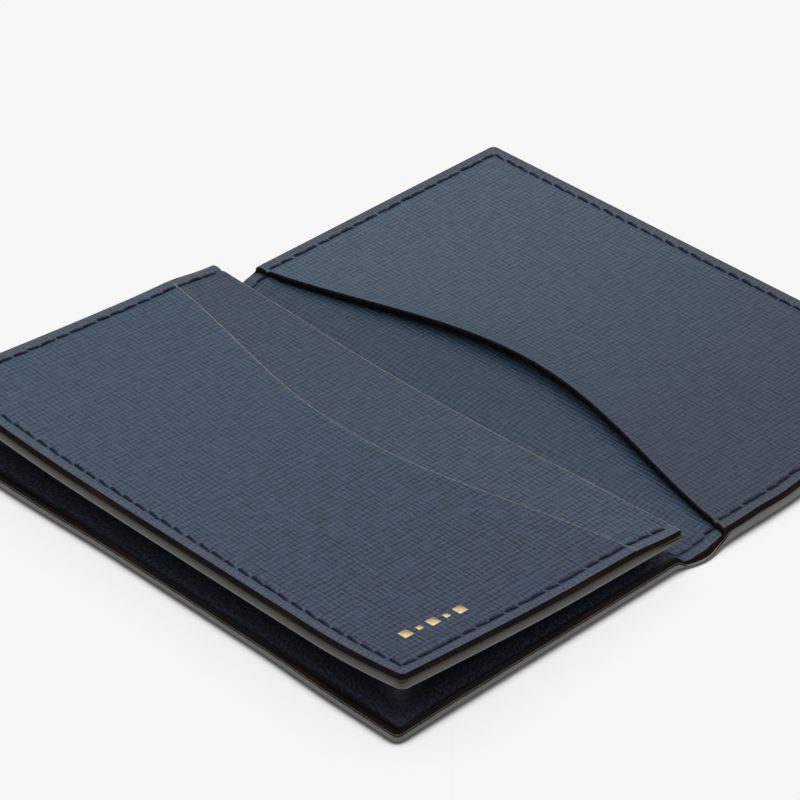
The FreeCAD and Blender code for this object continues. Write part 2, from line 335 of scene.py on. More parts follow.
def shell(name, top, bottom, rim, lay, materials, edge_materials=(0, 0, 0, 0), texture=None, seam=None,
          paint_shade=None):
    """A closed sheet between two grids of points, its edges rounded to radius rim.

    Rows run from the mouth to the outer edge, columns from near to far. edge_materials are the numbers
    of the materials on the mouth, far, outer and near edges."""
    rows, columns = top.shape[:2]
    index = np.arange(rows * columns).reshape(rows, columns)
    loop = np.concatenate([index[0, :-1], index[:-1, -1], index[-1, :0:-1], index[:0:-1, 0]])
    mouth, far, outer, near = edge_materials
    sides = [mouth] * (columns - 1) + [far] * (rows - 1) + [outer] * (columns - 1) + [near] * (rows - 1)
    points = [top.reshape(-1, 3), bottom.reshape(-1, 3)]
    high, low = points[0][loop], points[1][loop]
    along = np.roll(high, -1, 0) - np.roll(high, 1, 0)
    area = np.sum(high[:, 0] * np.roll(high[:, 1], -1) - high[:, 1] * np.roll(high[:, 0], -1))
    out = np.stack([along[:, 1], -along[:, 0], 0 * along[:, 0]], 1) * math.copysign(1, area)
    out /= np.linalg.norm(out, axis=1)[:, None]
    rings = [loop]
    turns = [math.radians(a) for a in (30, 60, 90)] if rim else []
    for edge, sign, angles in ((high, -1, turns), (low, 1, turns[::-1])):
        for a in angles:
            rings.append(sum(len(p) for p in points) + np.arange(len(loop)))
            points.append(edge + out * rim * math.sin(a) + [0, 0, sign * rim * (1 - math.cos(a))])
    rings.append(loop + rows * columns)
    faces = np.concatenate([grid_faces(index), grid_faces(index + rows * columns), ring_faces(rings)])
    sheet_count = 2 * (rows - 1) * (columns - 1)
    face_materials = [0] * sheet_count + sides * (len(rings) - 1)
    flat = np.concatenate(points)
    if texture is not None:
        texture = texture.reshape(-1, 3)
        texture = np.concatenate([texture, texture] + [texture[loop]] * (len(rings) - 2))
    return make_piece(name, flat, faces.tolist(), lay, materials, face_materials, texture, seam, paint_shade)


def spaced(low, high, step):
    """Evenly spaced numbers from low to high, about step apart."""
    count = max(2, round(abs(high - low) / step) + 1)
    return np.linspace(low, high, count)


def grid_lines(low, high, fine_low, fine_high, coarse=COARSE):
    """Positions from low to high, closer together over fine_low and fine_high at the ends."""
    turn = math.copysign(1, high - low)
    first, last = low + turn * fine_low, high - turn * fine_high
    parts = [spaced(low, first, FINE)[:-1], spaced(first, last, coarse), spaced(last, high, FINE)[1:]]
    return np.concatenate(parts)


def round_corners(x, y, outer_x, half_y, radius):
    """Draws a grid's two outer corners in to a radius."""
    side = math.copysign(1, outer_x)
    centre_x, centre_y = abs(outer_x) - radius, half_y - radius
    a = np.clip((x * side - centre_x) / radius, 0, 1)
    b = np.clip((np.abs(y) - centre_y) / radius, 0, 1)
    corner = (a > 0) & (b > 0)
    rounded_x = side * (centre_x + radius * a * np.sqrt(1 - b * b / 2))
    rounded_y = np.sign(y) * (centre_y + radius * b * np.sqrt(1 - a * a / 2))
    return np.where(corner, rounded_x, x), np.where(corner, rounded_y, y)


def sheet_plan(mouth, outer_x, inset, coarse=COARSE):
    """Plan grid of a half's sheet. mouth(y) is the x of its inner edge."""
    half_y = HALF_Y - inset
    edge_x = outer_x - math.copysign(inset, outer_x)
    share = grid_lines(0, abs(edge_x - mouth(0.0)), 1.5, MARGIN, coarse)
    share = share[:, None] / share[-1]
    y = grid_lines(-half_y, half_y, MARGIN, MARGIN, coarse)[None, :] + 0 * share
    x = mouth(y) + share * (edge_x - mouth(y))
    return round_corners(x, y, edge_x, half_y, CORNER_R - inset)


def leather_sheet(name, mouth, outer_x, low, high, lay, materials, seam=None, under=None, inset=EDGE_INSET,
                  rim=0.2, edge_materials=(0, 1, 1, 1), coarse=COARSE, extra=None, paint_shade=None):
    """A sheet from low(x) to high(x). The seam called seam shapes its upper face, with extra(x, y) added,
    and the one called under cuts its groove in the lower face."""
    x, y = sheet_plan(mouth, outer_x, inset + rim, coarse)
    top = high(x) + (seam.relief(x, y) if seam else 0) + (extra(x, y) if extra else 0)
    bottom = low(x) - (under.relief(x, y) if under else 0)
    if under:
        bottom = np.maximum(bottom, low(x))
    shown = seam or under
    return shell(name, np.stack([x, y, top], -1), np.stack([x, y, bottom], -1), rim, lay, materials,
                 edge_materials, seam=shown, paint_shade=paint_shade)


def sweep_outline(start_x, outer_x, half_y, radius, step=0.6):
    """Points and outward normals round three sides, from start_x on the near side to start_x on the far."""
    side = math.copysign(1, outer_x)
    centre_x = outer_x - side * radius
    centre_y = half_y - radius
    run = spaced(start_x, centre_x, step)
    points = [(x, -half_y, 0, -1) for x in run[:-1]]
    for middle_y, first in ((-centre_y, -90), (centre_y, 0)):
        for a in np.radians(np.linspace(first, first + 90, 9)):
            nx, ny = side * math.cos(a), math.sin(a)
            points.append((centre_x + radius * nx, middle_y + radius * ny, nx, ny))
        if first < 0:
            points += [(outer_x, y, side, 0) for y in spaced(-centre_y, centre_y, step)[1:-1]]
    points += [(x, half_y, 0, 1) for x in run[-2::-1]]
    return np.array(points)


def edge_paint(name, path, low, high, lay, paint):
    """The edge of a stack from low to high at each point of the path: a bead of paint along its lower
    half, and the bare edge of the upper leather, a little further in, above that."""
    profile = np.array(EDGE_PROFILE)
    out = np.concatenate([EDGE_BULGE * profile[:, 0], [-EDGE_DEPTH, -EDGE_DEPTH]])
    lift = np.concatenate([profile[:, 1], [0.86, -0.86]])
    middle, half = (low + high) / 2, (high - low) / 2
    x = path[:, 0:1] + path[:, 2:3] * out
    y = path[:, 1:2] + path[:, 3:4] * out
    z = middle[:, None] + half[:, None] * lift
    flat = np.stack([x, y, z], -1).reshape(-1, 3)
    rings = np.arange(len(flat)).reshape(len(path), len(out))
    faces = ring_faces(rings).tolist() + [rings[0].tolist(), rings[-1].tolist()]
    bare = ((lift + np.roll(lift, -1)) / 2 > BARE_FROM).astype(int).tolist()
    reach = np.concatenate([[0], np.cumsum(np.linalg.norm(np.diff(path[:, :2], axis=0), axis=1))])
    texture = np.stack([reach[:, None] + 0 * out, 0 * x + lift, 0 * x], -1).reshape(-1, 3)
    return make_piece(name, flat, faces, lay, [paint, CUT_EDGE], bare * (len(path) - 1) + [0, 0], texture)


def thread(name, stitches, surface, lay, material, up=1, seed=1):
    """Stitches from hole to hole, slanted across the row, each a twisted length of thread. They stand up
    from the surface, or hang under it where up is -1."""
    chance = np.random.default_rng(seed)
    turn = np.linspace(0, 2 * np.pi, 12, endpoint=False)
    t = np.linspace(0, 1, 15)
    bow = 1 - np.abs(2 * t - 1) ** 4
    points, faces, texture = [], [], []
    ring = np.arange(len(turn) * len(t)).reshape(len(t), len(turn))
    tube = ring_faces(ring).tolist() + [ring[0].tolist(), ring[-1].tolist()]
    for number, (start, end) in enumerate(stitches):
        start, end = np.array(start), np.array(end)
        heading = (end - start) / np.linalg.norm(end - start)
        aside = np.array([-heading[1], heading[0]])
        slant = THREAD_SLANT * chance.uniform(0.5, 1.5)
        off = chance.normal(0, 0.045)
        length = chance.uniform(0.97, 1.05)
        forward = np.outer(0.5 + (t - 0.5) * length, end - start)
        sideways = np.outer(slant * (1 - 2 * t) + off, aside)
        plan = start + forward + sideways
        rise = -THREAD_SINK + (THREAD_ARCH + chance.uniform(-0.04, 0.05)) * bow
        radius = THREAD_R * (0.72 + 0.28 * bow) * chance.uniform(0.94, 1.06)
        ply = 1 + 0.13 * np.cos(2 * turn[None, :] - 17 * t[:, None])
        sway, stand = ply * np.cos(turn) * radius[:, None], ply * np.sin(turn) * radius[:, None]
        x = plan[:, 0:1] + aside[0] * sway
        y = plan[:, 1:2] + aside[1] * sway
        base = surface(plan[:, 0], plan[:, 1])
        z = (base + up * rise)[:, None] + stand
        points.append(np.stack([x, y, z], -1).reshape(-1, 3))
        along = t[:, None] * SEAM_PITCH + 0 * sway
        texture.append(np.stack([along + number * 3.0, 0 * along + turn, 0 * along], -1).reshape(-1, 3))
        faces += (np.array(tube[:-2]) + number * ring.size).tolist()
        faces += [[v + number * ring.size for v in cap] for cap in tube[-2:]]
    flat = np.concatenate(points)
    return make_piece(name, flat, faces, lay, [material], [0] * len(faces), np.concatenate(texture))


# ---------------------------------------------------------------- materials

GRAIN_PITCH, GRAIN_DEPTH, GRAIN_ROUGHNESS = 0.85, 0.20, 0.48


class Graph:
    """Builds the nodes of one material."""

    def __init__(self, name):
        self.material = bpy.data.materials.new(name)
        self.material.use_nodes = True
        self.tree = self.material.node_tree
        self.shader = self.tree.nodes["Principled BSDF"]

    def plug(self, socket, value):
        if isinstance(value, bpy.types.NodeSocket):
            self.tree.links.new(value, socket)
        else:
            socket.default_value = value

    def node(self, kind, inputs, **settings):
        made = self.tree.nodes.new(kind)
        for key, value in settings.items():
            setattr(made, key, value)
        for key, value in inputs.items():
            self.plug(made.inputs[key], value)
        return made

    def math(self, operation, *values):
        return self.node("ShaderNodeMath", dict(enumerate(values)), operation=operation).outputs[0]

    def flat(self):
        """Where the point lies when the piece is flat, in millimetres, as (vector, x, y)."""
        vector = self.node("ShaderNodeAttribute", {}, attribute_name="flat").outputs["Vector"]
        parts = self.node("ShaderNodeSeparateXYZ", {"Vector": vector}).outputs
        return vector, parts[0], parts[1]

    def carried(self, name):
        """A number that the mesh carries at every point."""
        return self.node("ShaderNodeAttribute", {}, attribute_name=name).outputs["Fac"]

    def stretched(self, x, y, scale_x, scale_y):
        scaled = [self.math("MULTIPLY", x, scale_x), self.math("MULTIPLY", y, scale_y)]
        return self.node("ShaderNodeCombineXYZ", {"X": scaled[0], "Y": scaled[1]}).outputs[0]

    def noise(self, vector, scale=1.0, detail=2.0):
        inputs = {"Vector": vector, "Scale": scale, "Detail": detail}
        return self.node("ShaderNodeTexNoise", inputs).outputs["Fac"]

    def step(self, value, low, high, to_low=0.0, to_high=1.0):
        inputs = {"Value": value, "From Min": low, "From Max": high, "To Min": to_low, "To Max": to_high}
        return self.node("ShaderNodeMapRange", inputs, interpolation_type="SMOOTHSTEP").outputs["Result"]

    def mix(self, share, a, b):
        made = self.node("ShaderNodeMix", {}, data_type="RGBA")
        for socket, value in zip((made.inputs[0], made.inputs[6], made.inputs[7]), (share, a, b)):
            self.plug(socket, value)
        return made.outputs[2]

    def tinted(self, base, factor):
        """A colour made lighter or darker by a factor."""
        grey = self.node("ShaderNodeMix", {}, data_type="RGBA", blend_type="MULTIPLY")
        for socket, value in zip((grey.inputs[0], grey.inputs[6], grey.inputs[7]),
                                 (1.0, base, colour(factor, factor, factor))):
            self.plug(socket, value)
        return grey.outputs[2]

    def finish(self, skin, roughness, height, depth, **uniform):
        """Sets the shader. height from 0 to 1 becomes a bump of that depth, in millimetres."""
        self.plug(self.shader.inputs["Base Color"], skin)
        self.plug(self.shader.inputs["Roughness"], roughness)
        bump = self.node("ShaderNodeBump", {"Height": height, "Distance": depth * MM, "Strength": 1.0})
        self.plug(self.shader.inputs["Normal"], bump.outputs[0])
        for key, value in uniform.items():
            self.shader.inputs[key.replace("_", " ")].default_value = value
        return self.material


def colour(red, green, blue):
    return (red, green, blue, 1.0)


def scaled(rgb, factor):
    return toned(rgb, factor, factor, factor)


def toned(rgb, red, green, blue):
    """A colour with each channel multiplied."""
    return colour(rgb[0] * red, rgb[1] * green, rgb[2] * blue)


def ridges(g, along, across, pitch):
    """Fine grooves that run along one axis, uneven in spacing, length and depth."""
    drift = g.noise(g.stretched(along, across, 0.28, 0.5), 1.0, 2.0)
    phase = g.math("ADD", g.math("MULTIPLY", across, 2 * math.pi / pitch), g.math("MULTIPLY", drift, 6.0))
    wave = g.step(g.math("SINE", phase), -1.0, 0.4)
    strands = g.step(g.noise(g.stretched(along, across, 0.30, 2.1 / pitch), 1.0, 1.0), 0.3, 0.65)
    return g.math("ADD", g.math("MULTIPLY", wave, 0.6), g.math("MULTIPLY", strands, 0.4))


def grained_leather(name, near, far, pits=(0.42, 0.58)):
    """Leather pressed with a fine cross grain, like linen. Its colour drifts from near to far, and the pits
    of its grain are painted darker, more so at the near end. Those colours are fitted to how the leather
    looks in one view, so they are partly painted light and shade."""
    g = Graph(name)
    vector, x, y = g.flat()
    lengthways, crossways = ridges(g, x, y, GRAIN_PITCH * 1.15), ridges(g, y, x, GRAIN_PITCH)
    pores = g.noise(vector, 3.6, 2.0)
    weave = g.math("MULTIPLY", g.math("ADD", lengthways, crossways), 0.45)
    height = g.math("ADD", weave, g.math("MULTIPLY", pores, 0.15))
    tone = g.step(height, 0.22, 0.85)
    # painted light and shade: the colour drifts from the near end to the far one
    drift = g.step(g.math("ADD", y, g.math("MULTIPLY", g.noise(vector, 0.06, 2.0), 12.0)), -44.0, 56.0)
    base = g.mix(drift, near, far)
    # partly painted shade: the grain's pits are darker, most of all at the near end
    pit = g.mix(drift, scaled(near, pits[0]), scaled(far, pits[1]))
    skin = g.mix(tone, pit, g.tinted(base, 1.24))
    margin = g.carried("margin")
    # The border out to the stitch row is tinted violet and lighter, and the very edge paler still.
    pressed = g.step(margin, SEAM_INSET - 0.8, SEAM_INSET + 0.1, 1.0, 0.0)
    ragged = g.math("ADD", margin, g.math("MULTIPLY", g.noise(vector, 1.4, 2.0), 0.5))
    pale_edge = g.step(ragged, 0.4, 1.0, 1.0, 0.0)
    violet = g.mix(g.step(pores, 0.35, 0.65), toned(near, 1.4, 1.1, 0.95), toned(near, 2.7, 2.0, 1.5))
    skin = g.mix(g.math("MULTIPLY", pressed, 0.6), skin, violet)
    skin = g.mix(g.math("MULTIPLY", pale_edge, 0.4), skin, toned(near, 2.3, 1.6, 1.5))
    # painted shade: nearly black where the sheet carries it, on the lining inside the gusset
    skin = g.mix(g.carried("painted_shade"), skin, scaled(near, 0.07))
    rough = g.step(tone, 0.0, 1.0, GRAIN_ROUGHNESS + 0.14, GRAIN_ROUGHNESS)
    return g.finish(skin, rough, height, GRAIN_DEPTH)


def burnished_edge(name, base, roughness):
    """The dark, dull edge of the arch pocket's mouth."""
    g = Graph(name)
    vector, x, y = g.flat()
    creases = g.noise(g.stretched(x, y, 0.5, 1.6), 1.0, 3.0)
    pores = g.noise(vector, 2.4, 3.0)
    height = g.math("ADD", g.math("MULTIPLY", creases, 0.6), g.math("MULTIPLY", pores, 0.4))
    skin = g.mix(g.step(height, 0.38, 0.62), scaled(base, 0.5), scaled(base, 1.7))
    rough = g.step(height, 0.3, 0.7, roughness + 0.1, roughness - 0.05)
    return g.finish(skin, rough, height, 0.10, Specular_IOR_Level=0.1)


def folded_leather(name, base, width):
    """Dull, mottled leather of the gusset strip. Its lower leaf is painted lighter, a painted light where it
    faces out, and both its edges are painted darker, a painted shade where they meet the sheets. How much
    lighter is fitted to one view."""
    g = Graph(name)
    vector, along, across = g.flat()
    creases = g.noise(g.stretched(along, across, 0.5, 1.3), 1.0, 3.0)
    pores = g.noise(vector, 2.0, 3.0)
    height = g.math("ADD", g.math("MULTIPLY", creases, 0.5), g.math("MULTIPLY", pores, 0.5))
    skin = g.mix(g.step(height, 0.40, 0.60), scaled(base, 0.4), scaled(base, 2.3))
    from_edge = g.math("MINIMUM", across, g.math("SUBTRACT", width, across))
    # painted light: the lower leaf is lighter
    lower = g.step(across, 2.5, 8.0, 0.85, 0.0)
    skin = g.mix(lower, skin, g.mix(g.step(pores, 0.42, 0.58), scaled(base, 1.0), scaled(base, 3.6)))
    # painted shade: darker along both edges
    skin = g.mix(g.step(from_edge, 0.15, 0.45), scaled(base, 0.3), skin)
    return g.finish(skin, g.step(height, 0.3, 0.7, 0.7, 0.5), height, 0.3, Specular_IOR_Level=0.25)


def edge_coating(name, bead, ior, full):
    """A glossy bead of dark paint, thin above the height full. Along and up the edge are the flat x and y.
    The ior is fitted, and is higher than real paint has."""
    g = Graph(name)
    vector, along, up = g.flat()
    wave = g.noise(g.stretched(along, up, 0.22, 0.5), 1.0, 2.0)
    speck = g.noise(vector, 3.0, 2.0)
    paint = g.mix(g.step(wave, 0.35, 0.65), scaled(bead, 0.8), scaled(bead, 1.25))
    thin = g.step(up, full, full + 0.37)
    skin = g.mix(thin, paint, scaled(bead, 0.35))
    height = g.math("ADD", g.math("MULTIPLY", wave, 0.9), g.math("MULTIPLY", speck, 0.03))
    rough = g.math("ADD", g.step(speck, 0.3, 0.7, 0.10, 0.16), g.math("MULTIPLY", thin, 0.5))
    return g.finish(skin, rough, height, 0.08, IOR=ior)


def cut_edge(name, base):
    """Bare edges of leather, nearly black, in places brown."""
    g = Graph(name)
    vector, x, y = g.flat()
    along = g.noise(g.stretched(x, y, 0.07, 0.07), 1.0, 2.0)
    fibre = g.noise(vector, 2.2, 3.0)
    skin = g.mix(g.step(along, 0.45, 0.7), base, toned(base, 3.2, 1.8, 1.1))
    return g.finish(skin, g.step(fibre, 0.3, 0.7, 0.8, 0.65), fibre, 0.06, Specular_IOR_Level=0.05)


def raw_edge(name, base):
    """The cut edge of a thin sheet, pale and fibrous."""
    g = Graph(name)
    x, y = g.flat()[1:]
    fibre = g.noise(g.stretched(x, y, 3.0, 0.9), 1.0, 3.0)
    skin = g.mix(g.step(fibre, 0.35, 0.65), scaled(base, 0.7), scaled(base, 1.2))
    return g.finish(skin, g.step(fibre, 0.3, 0.7, 0.75, 0.6), fibre, 0.05)


def sewing_thread(name, base):
    """Waxed two-ply thread. Along and around it are the flat x and y."""
    g = Graph(name)
    vector, along, around = g.flat()
    lay = g.math("SINE", g.math("ADD", g.math("MULTIPLY", along, 9.0), g.math("MULTIPLY", around, 4.0)))
    fuzz = g.noise(vector, 6.0, 2.0)
    height = g.math("ADD", g.math("MULTIPLY", g.step(lay, -1.0, 1.0), 0.7), g.math("MULTIPLY", fuzz, 0.3))
    # painted highlight: the crests of the plies are lighter, and the fuzz varies the tone at random
    skin = g.mix(g.step(height, 0.1, 0.9), scaled(base, 0.5), scaled(base, 1.7))
    return g.finish(skin, g.step(fuzz, 0.3, 0.7, 0.55, 0.7), height, 0.05, Specular_IOR_Level=0.3)


def fibre_board(name, base):
    """Flecked board, which only shows where a sheet stands away from it."""
    g = Graph(name)
    x, y = g.flat()[1:]
    fleck = g.noise(g.stretched(x, y, 1.2, 3.0), 1.0, 4.0)
    skin = g.mix(g.step(fleck, 0.35, 0.65), scaled(base, 0.75), scaled(base, 1.15))
    return g.finish(skin, g.step(fleck, 0.3, 0.7, 0.9, 0.75), fleck, 0.04)


def pressed_foil(name, base):
    """Gold foil, pressed into the grain so that it breaks up a little."""
    g = Graph(name)
    grain = g.noise(g.flat()[0], 3.2, 3.0)
    skin = g.mix(g.step(grain, 0.3, 0.6), scaled(base, 0.72), base)
    return g.finish(skin, g.step(grain, 0.3, 0.7, 0.42, 0.28), grain, 0.05, Metallic=1.0)


# Each sheet has its own near and far colours, fitted to how it looks in one view: partly painted light and
# shade.
POCKET_LEATHER = grained_leather("pocket_leather", colour(0.0248, 0.0445, 0.087),
                                 colour(0.0268, 0.059, 0.100), pits=(0.22, 0.55))
SLOT_LEATHER = grained_leather("slot_leather", colour(0.033, 0.058, 0.093), colour(0.0265, 0.047, 0.0745),
                               pits=(0.30, 0.58))
LINING_LEATHER = grained_leather("lining_leather", colour(0.0170, 0.039, 0.072), colour(0.0138, 0.037, 0.063))
ARCH_LEATHER = grained_leather("arch_leather", colour(0.0200, 0.036, 0.062), colour(0.0415, 0.071, 0.108),
                               pits=(0.52, 0.66))
COVER_LEATHER = grained_leather("cover_leather", colour(0.023, 0.042, 0.074), colour(0.025, 0.048, 0.080))
GUSSET_LEATHER = folded_leather("gusset_leather", colour(0.0078, 0.0094, 0.0145), GUSSET_SPAN)
EDGE_PAINT = edge_coating("edge_paint", colour(0.014, 0.013, 0.007), 2.0, 0.20)
POCKET_EDGE_PAINT = edge_coating("pocket_edge_paint", colour(0.014, 0.013, 0.007), 1.6, 0.05)
CUT_EDGE = cut_edge("cut_edge", colour(0.006, 0.004, 0.003))
DARK_EDGE = burnished_edge("dark_edge", colour(0.003, 0.003, 0.003), 0.7)
RAW_EDGE = raw_edge("raw_edge", colour(0.26, 0.24, 0.18))
THREAD = sewing_thread("thread", colour(0.0056, 0.0060, 0.023))
BOARD = fibre_board("board", colour(0.10, 0.085, 0.065))
GOLD = pressed_foil("gold_foil", colour(0.86, 0.66, 0.36))


# ---------------------------------------------------------------- the halves and the spine


def bend_left(piece):
    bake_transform(piece)


def bend_right(piece):
    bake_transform(piece)


def wrinkles(x, y):
    """Small creases where the lining is gathered into the spine, most of all at its ends."""
    place = np.exp(-((x - SPINE_MIDDLE) / 3.4) ** 2)
    ends = ramp(np.abs(y), HALF_Y - 8, HALF_Y - 1)
    pattern = np.sin(2.3 * x + 1.9 * y) + 0.6 * np.sin(3.7 * x - 1.1 * y + 1.3)
    return 0.05 * place * ends * pattern + 0.2 * place * ramp(np.abs(y), HALF_Y - 4, HALF_Y - 1)


def lining_shape(x, y):
    """What is added to the lining's upper face."""
    past_spine = ramp(x, BOARD_END_RIGHT - 2.5, BOARD_END_RIGHT - 0.5)
    return wrinkles(x, y) - mouth_drop(x, y) * past_spine


def spine_edge(y):
    return SPINE_MIDDLE + 0 * y


def zero(x):
    return 0 * x


def arch_mouth(y):
    """The x of the arch pocket's mouth."""
    return ARCH_END + ARCH_RISE * bell(y)


def mouth_drop(x, y):
    """How far the right half's lining lies low, from the spine's slope to just inside the mouth."""
    unsewn = 0.35 + 0.65 * ramp(HALF_Y - np.abs(y), 2.8, 5)
    return MOUTH_DROP * unsewn * (1 - ramp(x, arch_mouth(y) + 0.2, arch_mouth(y) + 2.2))


def shade_inside_gusset(flat):
    """1 on the lining inside the gusset, 0 elsewhere: there the lining carries painted shade, which makes it
    nearly black, as it looks in the one view that the looks were fitted to."""
    return 1 - ramp(flat[:, 0], GUSSET_MOUTH - 1.2, GUSSET_MOUTH - 0.2)


def make_half(side, edge_x, seam, bend, nodes):
    """Cover, board and lining of one half, out to the middle of the spine."""
    cover = leather_sheet("cover_" + side, spine_edge, edge_x, zero, cover_top, settle,
                          [COVER_LEATHER, CUT_EDGE], under=seam)
    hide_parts(*nodes["cover"])
    bend(cover)
    lining = leather_sheet("lining_" + side, spine_edge, edge_x, lining_low, lining_top, settle,
                           [LINING_LEATHER, CUT_EDGE], seam=seam, extra=lining_shape,
                           paint_shade=shade_inside_gusset)
    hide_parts(*nodes["lining"])
    bend(lining)
    board_end = BOARD_END_LEFT if edge_x < 0 else BOARD_END_RIGHT
    board = leather_sheet("board_" + side, lambda y: board_end + 0 * y, edge_x, cover_top, lining_low, settle,
                          [BOARD, BOARD], inset=0.6, rim=0.1, coarse=2.5)
    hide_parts(*nodes["board"])
    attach(board, side + "_half")


make_half("left", LEFT_EDGE, LEFT_SEAM, bend_left,
          {"cover": ["left_cover", "spine_cover"], "lining": ["left_lining", "spine_lining"],
           "board": ["left_stiffener"]})
make_half("right", RIGHT_EDGE, RIGHT_SEAM, bend_right,
          {"cover": ["right_cover"], "lining": ["right_lining"], "board": ["right_stiffener"]})


def arch_gape(x, y):
    """How far the arch pocket stands up, most of all in the middle of its mouth."""
    spread = np.where(y < 0, bell(y) ** 0.8, bell(y))
    return ARCH_GAPE * np.exp(-(x - arch_mouth(y)) / 5.0) * spread


def make_arch_pocket():
    x, y = sheet_plan(arch_mouth, RIGHT_EDGE, EDGE_INSET + 0.3)
    gape = arch_gape(x, y)
    top = ARCH_TOP + RIGHT_SEAM.relief(x, y) + gape
    bottom = RIGHT_TOP + 0.02 + gape - mouth_drop(x - 1.2, y)
    arch = shell("arch_sheet", np.stack([x, y, top], -1), np.stack([x, y, bottom], -1), 0.3, settle,
                 [ARCH_LEATHER, CUT_EDGE, DARK_EDGE], (2, 1, 1, 1), seam=RIGHT_SEAM)
    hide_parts("arch_pocket")
    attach(arch, "right_half")


make_arch_pocket()


def half_path(outer_x):
    """Path of one half's painted edge."""
    return sweep_outline(SPINE_MIDDLE, outer_x - math.copysign(EDGE_PATH, outer_x), HALF_Y - EDGE_PATH,
                         CORNER_R - EDGE_BULGE + EDGE_OUT)


def make_half_edges():
    """Painted edges of both halves, each out to the middle of the spine."""
    path = half_path(LEFT_EDGE)
    x = path[:, 0]
    high = across_spine(x, LEFT_TOP + GUSSET_T, SPINE_TOP, RIGHT_TOP) - 0.15
    bend_left(edge_paint("edge_paint_left", path, 0.04 + 0 * x, high, settle, EDGE_PAINT))
    path = half_path(RIGHT_EDGE)
    x = path[:, 0]
    high = across_spine(x, LEFT_TOP, SPINE_TOP, RIGHT_TOP) - 0.15
    high = high + (ARCH_TOP - RIGHT_TOP - 0.05) * ramp(x, ARCH_END - 0.6, ARCH_END + 1.0)
    bend_right(edge_paint("edge_paint_right", path, 0.04 + 0 * x, high, settle, EDGE_PAINT))


make_half_edges()


def left_face(x, y):
    """Top of what the left half's thread is sewn through: the gusset's flange, then the spine lining."""
    return lining_top(x) + (GUSSET_T - FLANGE_PRESSED) * (1 - ramp(x, GUSSET_MOUTH - 0.2, GUSSET_MOUTH + 0.4))


def outer_face(x, y):
    """The level that the outer face's thread counts from."""
    return OUTER_THREAD_Z + 0 * x


def right_face(x, y):
    """Top of what the right half's thread is sewn through: the lining, then the arch pocket."""
    return lining_top(x) + (ARCH_TOP - RIGHT_TOP) * ramp(x, arch_mouth(y) - 0.1, arch_mouth(y) + 0.5)


def joined(name, pieces):
    """One object from several."""
    mesh = bmesh.new()
    for piece in pieces:
        mesh.from_mesh(piece.data)
    whole = pieces[0]
    mesh.to_mesh(whole.data)
    mesh.free()
    for piece in pieces[1:]:
        bpy.data.objects.remove(piece)
    whole.name = name
    return whole


def make_half_threads():
    """Both halves' thread: a row on the inner face and a row on the outer."""
    for side, seam, face, bend, nodes, seed in (
            ("left", LEFT_SEAM, left_face, bend_left, ["left_stitching", "spine_stitching"], 11),
            ("right", RIGHT_SEAM, right_face, bend_right, ["right_stitching"], 23)):
        inner = thread("inner_" + side, seam.stitches(), face, settle, THREAD, seed=seed)
        outer = thread("outer_" + side, seam.stitches(), outer_face, settle, THREAD, -1, seed + 1)
        rows = joined("thread_" + side, [inner, outer])
        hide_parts(*nodes)
        bend(rows)


make_half_threads()


# ---------------------------------------------------------------- the gusset and its pocket

def make_gusset():
    """One strip folded inwards along its middle, mitred round the two outer corners."""
    t = np.linspace(0, 1, 45)
    share = ramp(t, 0.2, 0.8)
    run = spaced(GUSSET_MOUTH, LEFT_EDGE, 0.6)
    side_y = spaced(-HALF_Y, HALF_Y, 0.6)
    near = [(x, -HALF_Y, x, 0) for x in run[:-1]]
    outer = [(LEFT_EDGE, y, 0, y) for y in side_y]
    far = [(x, HALF_Y, x, 0) for x in run[-2::-1]]
    path = np.array([p[:2] for p in near + outer + far])
    reach = np.concatenate([[0], np.cumsum(np.linalg.norm(np.diff(path, axis=0), axis=1))])[:, None]
    span_x = GUSSET_MOUTH - LEFT_EDGE
    corner = np.minimum(np.abs(reach - span_x), np.abs(reach - span_x - 2 * HALF_Y))
    gathered = 1 - 0.5 * np.exp(-(corner / 3.5) ** 2)
    inset = GUSSET_INSET + (GUSSET_INSET_TOP - GUSSET_INSET) * share
    inset = inset + (GUSSET_DEPTH - inset) * gathered * (1 - (2 * t - 1) ** 2) ** 0.8
    along = (GUSSET_MOUTH - path[:, 0:1]) / span_x
    x = GUSSET_MOUTH - along * (span_x - inset)
    y = path[:, 1:2] * (HALF_Y - inset) / HALF_Y
    x, y = round_corners(x, y, LEFT_EDGE + GUSSET_INSET, HALF_Y - GUSSET_INSET, CORNER_R)
    low = half_lift(x, y) + LEFT_TOP + GUSSET_T / 2
    high = panel_height(x, y) - GUSSET_T / 2
    leaf = np.sin(np.pi * t) ** 3
    ripple = 0.16 * np.sin(reach * 0.9 + 5 * t) + 0.12 * np.sin(reach * 0.37 - 3 * t)
    z = low + share * (high - low) + leaf * ripple
    middle = np.stack([x, y, z], -1)
    across = np.gradient(middle, axis=1)
    forward = np.gradient(middle, axis=0)
    normal = np.cross(forward, across)
    normal /= np.linalg.norm(normal, axis=-1)[..., None]
    texture = np.stack([reach + 0 * t, 0 * reach + t * GUSSET_SPAN, 0 * x], -1)
    strip = shell("gusset_strip", middle + normal * GUSSET_T / 2, middle - normal * GUSSET_T / 2, 0, None,
                  [GUSSET_LEATHER], texture=texture)
    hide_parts("gusset")
    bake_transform(strip)


make_gusset()


def rear_mouth(y):
    return REAR_END - REAR_DIP * bell(y)


def panel_mouth(y):
    return rear_mouth(y) - 0.35


def front_mouth(y):
    return FRONT_END - FRONT_DIP * bell(y)


def constant(value):
    """A thickness that is the same everywhere."""
    return lambda x: value + 0 * x


def closing(x):
    """1 where the pocket's sheets are sewn together, falling to 0 at their end."""
    return 1 - ramp(x, FRONT_END - 1, REAR_END - 1)


